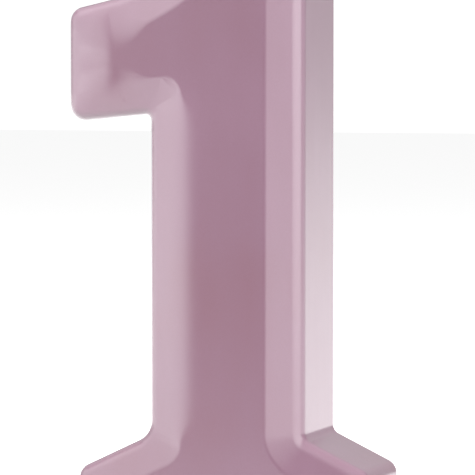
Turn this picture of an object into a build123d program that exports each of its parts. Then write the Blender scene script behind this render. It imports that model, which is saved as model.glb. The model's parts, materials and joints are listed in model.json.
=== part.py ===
from build123d import *
from math import atan2, cos, radians, sin, tan
import os

# Number birthday candle: a cast wax numeral 1 with its wick, on a plastic cake pick.
# The origin is the centre of the pick plate's underside, where the pick rests on the cake.
# +Z is up, the numeral's bevelled front looks along -Y, and +X is to the right seen from the front.
# Lengths are in millimetres and angles in degrees.

# Numeral: outline seen from the front, x from the stem's centreline, z from its own underside
NUMERAL_HEIGHT = 70.0
DEPTH = 14.0
STEM_WIDTH = 18.9
SHOULDER_TOP = 12.5          # where the foot's sloping shoulders meet the stem
SHOULDER_ANGLE = 25.5        # degrees below level, from the stem out to the foot's ends
FOOT_LEFT_REACH = 9.1        # how far the foot stands out to the left of the stem
FOOT_RIGHT_REACH = 7.9
FLAG_REACH = 10.1            # how far the flag stands out to the left of the stem
FLAG_UNDERSIDE = 50.2        # where the flag's underside meets the stem
FLAG_DROOP_ANGLE = 5.5       # the flag's underside falls by this towards its end
FLAG_TIP_HEIGHT = 62.4       # top corner of the flag's end
FLAG_TIP_ANGLE = 13.0        # rise of the flag's top where it leaves its end
FLAG_HEAD_ANGLE = 34.0       # rise of the flag's top where it reaches the head
HEAD_FLAT = 12.0             # level top of the head

# Numeral: corner radii of the outline and of the front face inside the bevel
END_CORNER = 1.8
FLAG_TOP_CORNER = 1.7
HEAD_CORNER = 1.8
ARMPIT_RADIUS = 0.8
LEFT_FOOT_FILLET = 2.8
RIGHT_FOOT_FILLET = 1.2
SWEEP_RADIUS = 20.0          # hollow curve along the flag's top
FACE_FOOT_CORNER = 0.4
FACE_HEAD_CORNER = 1.2
FACE_FLAG_CORNER = 2.2
FACE_ARMPIT_RADIUS = 2.0
FACE_LEFT_FOOT_FILLET = 3.2
FACE_RIGHT_FOOT_FILLET = 5.4

# Numeral: section of the bevel
BEVEL_WIDTH = 4.2
BEVEL_DEPTH = 1.3
BEVEL_EDGE_RADIUS = 1.6      # soft edge between bevel and side wall
BACK_EDGE_RADIUS = 0.8

# Wick
WICK_RADIUS = 0.65
WICK_EXPOSED = 9.0
WICK_FLOOR = 16.0            # lower end of the wick above the numeral's underside

# Pick
PLATE_LENGTH = 18.0
PLATE_WIDTH = 9.0
PLATE_THICKNESS = 1.2
SPIKE_RADIUS = 1.6
SPIKE_STRAIGHT = 20.0
SPIKE_TAPER = 8.0
SPIKE_TIP_RADIUS = 0.35
TANG_LENGTH = 11.0
TANG_SPAN = 4.4              # across two opposite ribs
TANG_RIB = 1.2
TANG_LEAD_IN = 0.5
SOCKET_CLEARANCE = 0.05      # on each side of a rib
SOCKET_SPARE_DEPTH = 1.0


def outline_corners():
    """Corners of the numeral's outline, anticlockwise from the foot's lower left, with two radii
    each: of the outline, and of the front face inside the bevel."""
    half_stem = STEM_WIDTH / 2
    foot_left, foot_right = -half_stem - FOOT_LEFT_REACH, half_stem + FOOT_RIGHT_REACH
    left_end_height = SHOULDER_TOP - FOOT_LEFT_REACH * tan(radians(SHOULDER_ANGLE))
    right_end_height = SHOULDER_TOP - FOOT_RIGHT_REACH * tan(radians(SHOULDER_ANGLE))
    flag_end = -half_stem - FLAG_REACH
    flag_low = FLAG_UNDERSIDE - FLAG_REACH * tan(radians(FLAG_DROOP_ANGLE))
    head_left = half_stem - HEAD_FLAT
    # the flag's top is two tangents, up from its tip and down from the head, joined by one arc
    tip_slope, head_slope = tan(radians(FLAG_TIP_ANGLE)), tan(radians(FLAG_HEAD_ANGLE))
    head_drop_at_end = NUMERAL_HEIGHT - (head_left - flag_end) * head_slope
    bend_run = (FLAG_TIP_HEIGHT - head_drop_at_end) / (head_slope - tip_slope)
    bend = (flag_end + bend_run, FLAG_TIP_HEIGHT + bend_run * tip_slope)
    return [
        ((foot_left, 0), END_CORNER, FACE_FOOT_CORNER),
        ((foot_right, 0), END_CORNER, FACE_FOOT_CORNER),
        ((foot_right, right_end_height), END_CORNER, FACE_FOOT_CORNER),
        ((half_stem, SHOULDER_TOP), RIGHT_FOOT_FILLET, FACE_RIGHT_FOOT_FILLET),
        ((half_stem, NUMERAL_HEIGHT), HEAD_CORNER, FACE_HEAD_CORNER),
        ((head_left, NUMERAL_HEIGHT), HEAD_CORNER, FACE_HEAD_CORNER),
        (bend, SWEEP_RADIUS, SWEEP_RADIUS + BEVEL_WIDTH),
        ((flag_end, FLAG_TIP_HEIGHT), FLAG_TOP_CORNER, FACE_FLAG_CORNER),
        ((flag_end, flag_low), END_CORNER, FACE_FLAG_CORNER),
        ((-half_stem, FLAG_UNDERSIDE), ARMPIT_RADIUS, FACE_ARMPIT_RADIUS),
        ((-half_stem, SHOULDER_TOP), LEFT_FOOT_FILLET, FACE_LEFT_FOOT_FILLET),
        ((foot_left, left_end_height), END_CORNER, FACE_FOOT_CORNER),
    ]


def inset_corner(before, corner, after, inset):
    """Where the two sides that meet at a corner cross once both have moved inwards."""
    into = atan2(corner[1] - before[1], corner[0] - before[0])
    out = atan2(after[1] - corner[1], after[0] - corner[0])
    half_turn = (out - into) / 2
    reach = inset / cos(half_turn)
    towards = into + half_turn + radians(90)
    return corner[0] + reach * cos(towards), corner[1] + reach * sin(towards)


def numeral_face(inset, y):
    """The numeral's shape, drawn in by inset, as an upright face at depth y."""
    corners = outline_corners()
    points = [corner[0] for corner in corners]
    moved = [
        inset_corner(points[i - 1], points[i], points[(i + 1) % len(points)], inset)
        for i in range(len(points))
    ]
    radii = [corner[2] if inset else corner[1] for corner in corners]
    plane = Plane(origin=(0, y, PLATE_THICKNESS), x_dir=(1, 0, 0), z_dir=(0, -1, 0))
    wire = Wire(FilletPolyline(*moved, radius=radii, close=True).edges())
    return plane * Face(wire)


def cast_numeral():
    """The wax casting before its socket and wick hole: side wall, bevelled front, eased edges."""
    front, back = -DEPTH / 2, DEPTH / 2
    rim = front + BEVEL_DEPTH
    wall = extrude(numeral_face(0, rim), amount=back - rim, dir=(0, 1, 0))
    bevel = loft([numeral_face(0, rim), numeral_face(BEVEL_WIDTH, front)], ruled=True)
    body = wall + bevel
    rim_edges = body.edges().filter_by_position(Axis.Y, rim - 0.01, rim + 0.01)
    body = fillet(rim_edges, BEVEL_EDGE_RADIUS)
    back_edges = body.edges().filter_by_position(Axis.Y, back - 0.01, back + 0.01)
    return fillet(back_edges, BACK_EDGE_RADIUS)


def rib_cross(span, rib, height):
    """Two crossed ribs standing on the plate's upper face."""
    lift = Pos(0, 0, PLATE_THICKNESS + height / 2)
    return lift * (Box(span, rib, height) + Box(rib, span, height))


def wax_numeral():
    """The casting with a cross-shaped socket for the pick and a hole for the wick."""
    gap = 2 * SOCKET_CLEARANCE
    socket = rib_cross(TANG_SPAN + gap, TANG_RIB + gap, TANG_LENGTH + SOCKET_SPARE_DEPTH)
    hole_height = NUMERAL_HEIGHT - WICK_FLOOR
    hole = Pos(wick_x(), 0, PLATE_THICKNESS + WICK_FLOOR + hole_height / 2) * Cylinder(
        WICK_RADIUS, hole_height
    )
    return cast_numeral() - socket - hole


def wick_x():
    """The wick comes out in the middle of the head's level top."""
    return (STEM_WIDTH - HEAD_FLAT) / 2


def wick():
    """Round waxed cord from inside the wax to above the head, with a rounded tip."""
    length = NUMERAL_HEIGHT - WICK_FLOOR + WICK_EXPOSED
    rod = Pos(wick_x(), 0, PLATE_THICKNESS + WICK_FLOOR + length / 2) * Cylinder(WICK_RADIUS, length)
    tip = rod.edges().group_by(Axis.Z)[-1]
    return fillet(tip, WICK_RADIUS / 2)


def pick():
    """One moulding: ribbed tang, oblong plate and round spike that tapers to a blunt point."""
    plate = extrude(SlotOverall(PLATE_LENGTH, PLATE_WIDTH), PLATE_THICKNESS)
    tang = rib_cross(TANG_SPAN, TANG_RIB, TANG_LENGTH)
    tang = chamfer(tang.faces().sort_by(Axis.Z)[-1].edges(), TANG_LEAD_IN)
    rod = Pos(0, 0, -SPIKE_STRAIGHT / 2) * Cylinder(SPIKE_RADIUS, SPIKE_STRAIGHT)
    taper = Pos(0, 0, -SPIKE_STRAIGHT - SPIKE_TAPER / 2) * Cone(
        SPIKE_TIP_RADIUS, SPIKE_RADIUS, SPIKE_TAPER
    )
    return plate + tang + rod + taper


os.makedirs("parts", exist_ok=True)
for name, shape in (("wax_numeral", wax_numeral()), ("wick", wick()), ("pick", pick())):
    export_step(shape, f"parts/{name}.step")
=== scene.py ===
"""Number birthday candle: a pearl-lacquered wax 1 with a braided wick, on a white cake pick."""
import json
from math import cos, pi, radians, sin, tan

import bmesh
import bpy
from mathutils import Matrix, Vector


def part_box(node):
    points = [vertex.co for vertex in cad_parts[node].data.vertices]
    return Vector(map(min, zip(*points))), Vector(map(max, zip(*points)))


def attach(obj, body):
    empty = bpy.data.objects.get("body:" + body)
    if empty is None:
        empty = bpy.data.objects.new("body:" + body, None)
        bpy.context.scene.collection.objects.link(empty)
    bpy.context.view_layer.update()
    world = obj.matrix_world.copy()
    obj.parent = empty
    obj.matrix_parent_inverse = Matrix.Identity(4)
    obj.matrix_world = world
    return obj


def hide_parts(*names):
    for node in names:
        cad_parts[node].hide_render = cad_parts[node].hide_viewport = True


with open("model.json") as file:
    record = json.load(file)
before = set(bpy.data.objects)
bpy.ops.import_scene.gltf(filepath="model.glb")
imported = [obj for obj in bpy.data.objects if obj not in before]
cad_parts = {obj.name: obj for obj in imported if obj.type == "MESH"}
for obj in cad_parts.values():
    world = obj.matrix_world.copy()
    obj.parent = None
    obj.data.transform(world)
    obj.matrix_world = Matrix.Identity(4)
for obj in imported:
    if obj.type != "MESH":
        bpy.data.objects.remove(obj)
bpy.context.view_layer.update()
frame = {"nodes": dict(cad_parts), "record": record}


# ---- Camera: a long lens a little to the right of the numeral's front and just above its middle,
# close enough that the top of the head and the bottom of the foot are cut off.
numeral_low, numeral_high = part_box("wax_numeral")
numeral_height = numeral_high.z - numeral_low.z
turn, tip = radians(18.5), radians(3.0)
camera_away = 0.45
view_width = 0.803 * numeral_height
aim_up, aim_left = 0.508 * numeral_height, 0.0057 * numeral_height
back = Vector((sin(turn) * cos(tip), -cos(turn) * cos(tip), sin(tip)))
right = Vector((cos(turn), sin(turn), 0))
above = back.cross(right)
aim = Vector((0, 0, numeral_low.z)) + above * aim_up - right * aim_left
camera_data = bpy.data.cameras.new("product_camera")
camera_data.sensor_width = 36
camera_data.lens = camera_data.sensor_width * camera_away / view_width
camera = bpy.data.objects.new("product_camera", camera_data)
bpy.context.scene.collection.objects.link(camera)
camera.location = aim + back * camera_away
camera.rotation_euler = back.to_track_quat("Z", "Y").to_euler()
bpy.context.scene.camera = camera


# ---- Numeral: cast in paraffin wax and dipped in pearl mauve lacquer. The edge between its level
# front and its bevel is crisp, except on the left of the flag and of the stem, where it is
# rounded off much wider.
front_y, back_y = numeral_low.y, numeral_high.y
level_slack = 1e-6              # how far from its plane the middle of a level face may lie
long_edge, long_edge_cuts = 0.0015, 16
bevel_cut = 0.0009              # the front is rebuilt from its plane down to here
ease_steps = 8
crisp_round = 0.0003            # how far the rounding reaches from the edge, on both sides of it
stem_round = (0.0016, 0.0024)   # the same on the stem's left, down the bevel and onto the face
flag_round = (0.0026, 0.0019)   # and on the flag's left
foot_top, foot_fade = numeral_low.z + 0.17 * numeral_height, 0.04 * numeral_height
armpit_z, armpit_fade = numeral_low.z + 0.76 * numeral_height, 0.06 * numeral_height
flag_x, flag_fade = 0.45 * numeral_low.x, 0.2 * numeral_low.x
poured_rings = ((0.00025, 0.00002), (0.00025, 0.00005), (0.00025, 0.00003))
crease_angle = radians(35)


def select_only(*pieces):
    """Selects these pieces and nothing else, with the last one active."""
    bpy.ops.object.select_all(action="DESELECT")
    for piece in pieces:
        piece.select_set(True)
        bpy.context.view_layer.objects.active = piece


def merged_copy(source, name):
    """A welded copy of a CAD piece, selected and active, with no material."""
    piece = bpy.data.objects.new(name, source.data.copy())
    bpy.context.scene.collection.objects.link(piece)
    select_only(piece)
    bpy.ops.mesh.customdata_custom_splitnormals_clear()
    piece.data.materials.clear()
    bpy.ops.object.mode_set(mode="EDIT")
    bpy.ops.mesh.select_all(action="SELECT")
    bpy.ops.mesh.remove_doubles(threshold=1e-6)
    bpy.ops.mesh.select_all(action="DESELECT")
    bpy.ops.object.mode_set(mode="OBJECT")
    return piece


def fade(value, start, length):
    """0 before start, 1 past start + length, and smooth in between."""
    u = min(1, max(0, (value - start) / length))
    return u * u * (3 - 2 * u)


numeral = merged_copy(frame["nodes"]["wax_numeral"], "numeral")
body = bmesh.new()
body.from_mesh(numeral.data)
level = [face for face in body.faces if face.calc_center_median().y < front_y + level_slack]
front = bmesh.ops.dissolve_faces(body, faces=level)["region"][0]
long_edges = [edge for edge in front.edges if edge.calc_length() > long_edge]
bmesh.ops.subdivide_edges(body, edges=long_edges, cuts=long_edge_cuts)
front = next(face for face in body.faces if face.calc_center_median().y < front_y + level_slack)
corners, face_in, bevel_in = [], [], []
for loop in front.loops:
    corners.append(loop.vert.co.copy())
    along = (loop.link_loop_next.vert.co - loop.vert.co).normalized()
    bevel = next(face for face in loop.edge.link_faces if face is not front)
    face_in.append(front.normal.cross(along))
    bevel_in.append(bevel.normal.cross(along))

# the front and the top of the bevel are cut away and rebuilt with the rounded edge
everything = body.verts[:] + body.edges[:] + body.faces[:]
bmesh.ops.bisect_plane(
    body, geom=everything, plane_co=(0, front_y + bevel_cut, 0), plane_no=(0, -1, 0), clear_outer=True
)
cut_edges = [edge for edge in body.edges if edge.is_boundary]
rings = [[] for step in range(ease_steps + 1)]
for i, corner in enumerate(corners):
    across = (face_in[i] + face_in[i - 1]).normalized()
    up_bevel = (bevel_in[i] + bevel_in[i - 1]).normalized()
    above_foot = fade(corner.z, foot_top, foot_fade)
    on_flag = fade(corner.x, flag_x, flag_fade) * above_foot
    on_stem = max(0, across.x) ** 2 * above_foot * fade(corner.z, armpit_z, -armpit_fade)
    down, onto = (crisp_round + (flag - crisp_round) * on_flag + (stem - crisp_round) * on_stem
                  for flag, stem in zip(flag_round, stem_round))
    start, end = corner - up_bevel * down, corner + across * onto
    for step, ring in enumerate(rings):
        u = step / ease_steps
        ring.append(body.verts.new(start * (1 - u) ** 2 + corner * 2 * u * (1 - u) + end * u ** 2))
for outer, inner in zip(rings, rings[1:]):
    for i in range(len(corners)):
        body.faces.new([outer[i - 1], outer[i], inner[i], inner[i - 1]])
body.faces.new(rings[-1])
first_ring = [body.edges.get((rings[0][i - 1], rings[0][i])) for i in range(len(corners))]
bmesh.ops.triangle_fill(body, use_beauty=True, edges=cut_edges + first_ring, normal=(0, -1, 0))

# the back is the side that was poured, and it sank a little inside its edge as the wax cooled
level = [face for face in body.faces if face.calc_center_median().y > back_y - level_slack]
poured = bmesh.ops.dissolve_faces(body, faces=level)["region"]
for width, sink in poured_rings:
    bmesh.ops.inset_region(body, faces=poured, thickness=width, depth=-sink, use_even_offset=True)
bmesh.ops.recalc_face_normals(body, faces=body.faces)
body.to_mesh(numeral.data)
body.free()

# the lacquer creeps up the wick in a small collar
wick_low, wick_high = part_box("wick")
wick_radius = (wick_high.x - wick_low.x) / 2
wick_x, wick_y = (wick_low.x + wick_high.x) / 2, (wick_low.y + wick_high.y) / 2
collar_reach, collar_height, collar_steps = 1.65 * wick_radius, 0.9 * wick_radius, 7
collar_sunk, collar_bore = 0.00002, 0.8 * wick_radius
centre = Vector((wick_x, wick_y, numeral_high.z - collar_sunk))
bpy.ops.object.select_all(action="DESELECT")
bpy.ops.mesh.primitive_circle_add(vertices=40, radius=collar_bore + collar_reach, location=centre)
collar = bpy.context.active_object
bpy.ops.object.mode_set(mode="EDIT")
bpy.ops.mesh.select_all(action="SELECT")
for step in range(collar_steps):
    wide, narrow = (collar_bore + collar_reach * (1 - (step + k) / collar_steps) for k in (0, 1))
    rise = collar_height * ((step + 1) ** 2 - step ** 2) / collar_steps ** 2
    bpy.ops.mesh.extrude_region_move(TRANSFORM_OT_translate={"value": (0, 0, rise)})
    bpy.ops.transform.resize(value=(narrow / wide, narrow / wide, 1), center_override=centre)
bpy.ops.mesh.extrude_region_move(TRANSFORM_OT_translate={"value": (0, 0, -collar_height)})
bpy.ops.mesh.select_all(action="SELECT")
bpy.ops.mesh.normals_make_consistent(inside=False)
bpy.ops.object.mode_set(mode="OBJECT")
bpy.ops.object.transform_apply(location=True, rotation=True, scale=True)
select_only(collar, numeral)
bpy.ops.object.join()
bpy.ops.object.shade_smooth_by_angle(angle=crease_angle)
flats = numeral.modifiers.new("level_flats", "WEIGHTED_NORMAL")
flats.keep_sharp = True


class Shade:
    """A node's output that adds, subtracts and multiplies as a number does."""

    def __init__(self, tree, socket):
        self.tree, self.socket = tree, socket

    def math(self, operation, first, second):
        return node(self.tree, "ShaderNodeMath", {"operation": operation}, {0: first, 1: second})[0]

    def __add__(self, other):
        return self.math("ADD", self, other)

    def __rsub__(self, other):
        return self.math("SUBTRACT", other, self)

    def __mul__(self, other):
        return self.math("MULTIPLY", self, other)

    __radd__ = __add__


def node(tree, kind, settings=None, inputs=None):
    """Adds a node, applies its settings, fills its inputs, and returns its outputs wrapped."""
    made = tree.nodes.new(kind)
    for name, value in (settings or {}).items():
        if name == "stops":
            ramp = made.color_ramp
            while len(ramp.elements) < len(value):
                ramp.elements.new(0.5)
            for element, (place, colour) in zip(ramp.elements, value):
                element.position, element.color = place, colour
        else:
            setattr(made, name, value)
    for name, value in (inputs or {}).items():
        if isinstance(value, Shade):
            tree.links.new(value.socket, made.inputs[name])
        else:
            made.inputs[name].default_value = value
    return [Shade(tree, output) for output in made.outputs]


def new_material(name):
    """A material with one Principled shader; returns the material, its tree and the shader."""
    material = bpy.data.materials.new(name)
    material.use_nodes = True
    tree = material.node_tree
    return material, tree, tree.nodes["Principled BSDF"]


# cloudy pearl with fine mica in it, faint runs down its length and a very slight orange peel
pearl, tree, shader = new_material("pearl_lacquer")
place = node(tree, "ShaderNodeTexCoord")[3]
cloud = node(tree, "ShaderNodeTexNoise", {}, {"Vector": place, "Scale": 45.0, "Detail": 2.0})[0]
mica = node(tree, "ShaderNodeTexNoise", {}, {"Vector": place, "Scale": 5200.0, "Detail": 1.0})[0]
run_down = node(tree, "ShaderNodeMapping", {}, {"Vector": place, "Scale": (1, 1, 0.2)})[0]
runs = node(tree, "ShaderNodeTexNoise", {}, {"Vector": run_down, "Scale": 260.0, "Detail": 2.0})[0]
peel = node(tree, "ShaderNodeTexNoise", {}, {"Vector": place, "Scale": 1400.0, "Detail": 2.0})[0]
tone = node(tree, "ShaderNodeValToRGB", {"stops": [
    (0.30, (0.34, 0.145, 0.215, 1)), (0.50, (0.36, 0.170, 0.260, 1)), (0.70, (0.40, 0.200, 0.305, 1))
]}, {"Fac": cloud * 0.7 + runs * 0.2 + mica * 0.1})[0]
tree.links.new(tone.socket, shader.inputs["Base Color"])
tree.links.new((0.25 + mica * 0.1 + cloud * 0.06).socket, shader.inputs["Roughness"])
tree.links.new((0.9 + runs * 0.1).socket, shader.inputs["Coat Weight"])
slump = node(tree, "ShaderNodeBump", {}, {"Strength": 0.5, "Distance": 0.00006, "Height": runs})[0]
skin = node(tree, "ShaderNodeBump", {},
            {"Strength": 0.5, "Distance": 0.000003, "Height": peel, "Normal": slump})[0]
tree.links.new(skin.socket, shader.inputs["Normal"])
shader.inputs["IOR"].default_value = 1.5
shader.inputs["Specular IOR Level"].default_value = 1.0
shader.inputs["Coat Roughness"].default_value = 0.22
shader.inputs["Coat IOR"].default_value = 1.8
numeral.data.materials.append(pearl)
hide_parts("wax_numeral")
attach(numeral, "candle")


# ---- Wick: cotton threads braided round a straight core and waxed stiff; it is cast into the
# numeral, stands out of the middle of the head, and was snipped off with its threads a little open.
threads_each_way, thread_radius, core_radius = 4, 0.25 * wick_radius, 0.52 * wick_radius
weave = 0.8 * thread_radius     # how far a thread rises and dips as it crosses others
braid_radius = wick_radius - thread_radius - weave
braid_pitch, steps_per_turn = 4.2 * wick_radius, 36
open_length, open_spread = 1.6 * wick_radius, 0.35 * wick_radius
snip_step, snip_steps = 0.12 * wick_radius, 5   # the threads end at a few different heights
braid = bpy.data.curves.new("wick_braid", "CURVE")
braid.dimensions = "3D"
braid.bevel_depth = thread_radius
braid.bevel_resolution = 1
braid.use_fill_caps = True
for direction in (1, -1):
    for thread in range(threads_each_way):
        snipped = wick_high.z - thread_radius - snip_step * ((3 * thread + 2 * direction) % snip_steps)
        count = int((snipped - wick_low.z) / braid_pitch * steps_per_turn)
        spline = braid.splines.new("NURBS")
        spline.points.add(count)
        for step in range(count + 1):
            z = wick_low.z + (snipped - wick_low.z) * step / count
            swing = 2 * pi * (z - wick_low.z) / braid_pitch
            lean = direction * swing + 2 * pi * thread / threads_each_way
            opened = max(0, 1 - (wick_high.z - z) / open_length) ** 2
            out = braid_radius + direction * weave * cos(threads_each_way * swing) + opened * open_spread
            spline.points[step].co = (wick_x + out * cos(lean), wick_y + out * sin(lean), z, 1)
        spline.order_u = 3
        spline.use_endpoint_u = True
        spline.resolution_u = 1
wick = bpy.data.objects.new("wick_braided", braid)
bpy.context.scene.collection.objects.link(wick)
select_only(wick)
bpy.ops.object.convert(target="MESH")

# the core ends a little lower than the threads, in a blunt cone
core_top = wick_high.z - 0.9 * wick_radius
bpy.ops.object.select_all(action="DESELECT")
bpy.ops.mesh.primitive_cylinder_add(
    vertices=16, radius=core_radius, depth=core_top - wick_low.z,
    location=(wick_x, wick_y, (core_top + wick_low.z) / 2))
core = bpy.context.active_object
bpy.ops.object.mode_set(mode="EDIT")
bpy.ops.mesh.select_all(action="DESELECT")
bpy.ops.object.mode_set(mode="OBJECT")
for face in core.data.polygons:
    face.select = face.normal.z > 0.9
bpy.ops.object.mode_set(mode="EDIT")
bpy.ops.mesh.inset(thickness=0.4 * core_radius)
bpy.ops.transform.translate(value=(0, 0, 0.3 * core_radius))
bpy.ops.object.mode_set(mode="OBJECT")
bpy.ops.object.transform_apply(location=True, rotation=True, scale=True)
select_only(core, wick)
bpy.ops.object.join()
bpy.ops.object.shade_smooth_by_angle(angle=radians(50))

cotton, tree, shader = new_material("waxed_cotton")
place = node(tree, "ShaderNodeTexCoord")[3]
along_fibres = node(tree, "ShaderNodeMapping", {}, {"Vector": place, "Scale": (1, 1, 0.25)})[0]
fibre = node(tree, "ShaderNodeTexNoise", {}, {"Vector": along_fibres, "Scale": 9000.0, "Detail": 3.0})[0]
soak = node(tree, "ShaderNodeTexNoise", {}, {"Vector": place, "Scale": 700.0, "Detail": 2.0})[0]
tone = node(tree, "ShaderNodeValToRGB", {"stops": [
    (0.3, (0.66, 0.60, 0.50, 1)), (0.5, (0.80, 0.76, 0.68, 1)), (0.75, (0.90, 0.88, 0.83, 1))
]}, {"Fac": fibre * 0.6 + soak * 0.4})[0]
tree.links.new(tone.socket, shader.inputs["Base Color"])
tree.links.new((0.75 - soak * 0.35).socket, shader.inputs["Roughness"])
fuzz = node(tree, "ShaderNodeBump", {}, {"Strength": 0.7, "Distance": 0.00004, "Height": fibre})[0]
tree.links.new(fuzz.socket, shader.inputs["Normal"])
wick.data.materials.append(cotton)
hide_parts("wick")
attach(wick, "candle")


# ---- Pick: one injection moulding in white polypropylene, with softened edges, a parting line
# down each side of its spike, two ejector marks under its plate and a broken-off gate at one end.
pick = merged_copy(frame["nodes"]["pick"], "pick_moulded")
pick_low, pick_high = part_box("pick")
plate_length, plate_thickness = pick_high.x - pick_low.x, numeral_low.z
spike = next(mount for mount in frame["record"]["mounts"] if mount["name"] == "spike")
spike_radius, spike_straight = spike["dims"]["r_mm"] / 1000, spike["dims"]["length_mm"] / 1000
mark_radius, mark_depth, mark_out = 0.0014, 0.0002, 0.31 * plate_length
line_width, line_height = 0.00014, 0.00005
line_length, line_drop = spike_straight - 0.0005, 0.0001
gate_radius, gate_length = 0.0004, 0.0004
soft = pick.modifiers.new("soft_edges", "BEVEL")
soft.limit_method, soft.angle_limit = "ANGLE", crease_angle
soft.width, soft.segments = 0.00018, 3
bpy.ops.object.modifier_apply(modifier=soft.name)

# each ejector mark is a shallow round dent with a sloping rim
for side in (-1, 1):
    bpy.ops.object.select_all(action="DESELECT")
    bpy.ops.mesh.primitive_cone_add(
        vertices=40, radius1=mark_radius, radius2=0.9 * mark_radius, depth=2 * mark_depth,
        location=(side * mark_out, 0, 0))
    pin = bpy.context.active_object
    bpy.ops.object.transform_apply(location=True, rotation=True, scale=True)
    dent = pick.modifiers.new("ejector_mark", "BOOLEAN")
    dent.operation, dent.solver, dent.object = "DIFFERENCE", "EXACT", pin
    select_only(pick)
    bpy.ops.object.modifier_apply(modifier=dent.name)
    bpy.data.objects.remove(pin)

extras = []
for side in (-1, 1):
    bpy.ops.object.select_all(action="DESELECT")
    bpy.ops.mesh.primitive_cube_add(
        size=1, location=(side * (spike_radius - line_height), 0, -line_length / 2 - line_drop))
    line = bpy.context.active_object
    line.scale = (4 * line_height, line_width, line_length)
    bpy.ops.object.transform_apply(location=True, rotation=True, scale=True)
    rounded = line.modifiers.new("rounded", "BEVEL")
    rounded.width, rounded.segments, rounded.limit_method = 0.35 * line_width, 2, "NONE"
    bpy.ops.object.modifier_apply(modifier=rounded.name)
    extras.append(line)
bpy.ops.object.select_all(action="DESELECT")
bpy.ops.mesh.primitive_cylinder_add(
    vertices=16, radius=gate_radius, depth=gate_length, rotation=(0, radians(90), 0),
    location=(pick_high.x, 0, plate_thickness / 2))
gate = bpy.context.active_object
bpy.ops.object.transform_apply(location=True, rotation=True, scale=True)
extras.append(gate)
select_only(*extras, pick)
bpy.ops.object.join()
bpy.ops.object.shade_smooth_by_angle(angle=crease_angle)

plastic, tree, shader = new_material("pick_plastic")
place = node(tree, "ShaderNodeTexCoord")[3]
flow = node(tree, "ShaderNodeTexNoise", {}, {"Vector": place, "Scale": 160.0, "Detail": 3.0})[0]
grain = node(tree, "ShaderNodeTexNoise", {}, {"Vector": place, "Scale": 2600.0, "Detail": 2.0})[0]
tone = node(tree, "ShaderNodeValToRGB", {"stops": [
    (0.35, (0.80, 0.79, 0.77, 1)), (0.65, (0.86, 0.86, 0.85, 1))
]}, {"Fac": flow})[0]
tree.links.new(tone.socket, shader.inputs["Base Color"])
tree.links.new((0.24 + flow * 0.2).socket, shader.inputs["Roughness"])
skin = node(tree, "ShaderNodeBump", {}, {"Strength": 0.25, "Distance": 0.00002, "Height": grain})[0]
tree.links.new(skin.socket, shader.inputs["Normal"])
shader.inputs["Subsurface Weight"].default_value = 0.25
shader.inputs["Subsurface Radius"].default_value = (0.0012, 0.0011, 0.001)
shader.inputs["Subsurface Scale"].default_value = 1.0
pick.data.materials.append(plastic)
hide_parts("pick")
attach(pick, "pick")


# ---- Set: a plain white floor and air, and soft white panels round the candle, which the
# lacquer mirrors as upright bands, with a dark gap a little to the left of the camera.
air_light, air_seen = 0.2, 1.05     # for everything else, and where the camera looks straight at it
panel_away = 0.6
floor_size, floor_drop = 6, 0.0002
world = bpy.data.worlds.new("studio_air")
bpy.context.scene.world = world
world.use_nodes = True
tree = world.node_tree
air = tree.nodes["Background"]
air.inputs["Color"].default_value = (1, 1, 1, 1)
camera_ray = node(tree, "ShaderNodeLightPath")[0]
air_strength = air_light + camera_ray * (air_seen - air_light)
tree.links.new(air_strength.socket, air.inputs["Strength"])
bpy.context.scene.view_settings.view_transform = "Standard"

middle = Vector((0, 0, (numeral_low.z + numeral_high.z) / 2))


def panel(name, azimuth, spread, brightness, elevation=15, rise=44):
    """A soft panel facing the candle's middle, as wide and as tall as the angles spread and rise;
    azimuth 0 is in front of the candle and 90 on its right."""
    light = bpy.data.lights.new(name, "AREA")
    light.shape = "RECTANGLE"
    light.size = 2 * panel_away * tan(radians(spread / 2))
    light.size_y = 2 * panel_away * tan(radians(rise / 2))
    light.energy = brightness * light.size * light.size_y * pi
    lamp = bpy.data.objects.new(name, light)
    bpy.context.scene.collection.objects.link(lamp)
    lamp.visible_camera = False
    around, up = radians(azimuth), radians(elevation)
    out = Vector((sin(around) * cos(up), -cos(around) * cos(up), sin(up)))
    lamp.location = middle + out * panel_away
    lamp.rotation_euler = out.to_track_quat("Z", "Y").to_euler()


panel("left_panel", -58, 64, 1.45)
panel("camera_panel", 13, 16, 0.6)
panel("right_panel", 56, 70, 2.0)
panel("right_back_panel", 114, 46, 0.45)
panel("left_back_panel", -115, 50, 0.5)
panel("back_panel", 180, 50, 0.38)
panel("top_left_panel", -50, 50, 1.0, elevation=58, rise=40)
panel("overhead_panel", 0, 100, 0.75, elevation=89, rise=100)

# the floor glows a little, so it stays white, and it throws no diffuse light up onto the candle
bpy.ops.mesh.primitive_plane_add(size=floor_size, location=(0, 0, pick_low.z - floor_drop))
floor = bpy.context.active_object
floor.name = "floor"
floor.visible_diffuse = False
floor_paint, tree, shader = new_material("floor_paint")
shader.inputs["Base Color"].default_value = (0.95, 0.95, 0.95, 1)
shader.inputs["Roughness"].default_value = 0.9
shader.inputs["Emission Color"].default_value = (1, 1, 1, 1)
shader.inputs["Emission Strength"].default_value = 0.75
floor.data.materials.append(floor_paint)

# a grey card stands between the camera and the left panel, so the level front mirrors nothing bright
card_azimuth, card_spread = radians(-12), radians(28)
card_away, card_height = 0.25, 0.25
card_width = 2 * card_away * tan(card_spread / 2)
bpy.ops.mesh.primitive_plane_add(
    size=1, rotation=(radians(90), 0, card_azimuth),
    location=(card_away * sin(card_azimuth), -card_away * cos(card_azimuth), pick_low.z + card_height / 2))
card = bpy.context.active_object
card.name = "grey_card"
card.scale = (card_width, card_height, 1)
bpy.ops.object.transform_apply(location=True, rotation=True, scale=True)
card.visible_camera = False
card_paper, tree, shader = new_material("card_paper")
shader.inputs["Base Color"].default_value = (0.6, 0.6, 0.6, 1)
shader.inputs["Roughness"].default_value = 0.9
card.data.materials.append(card_paper)
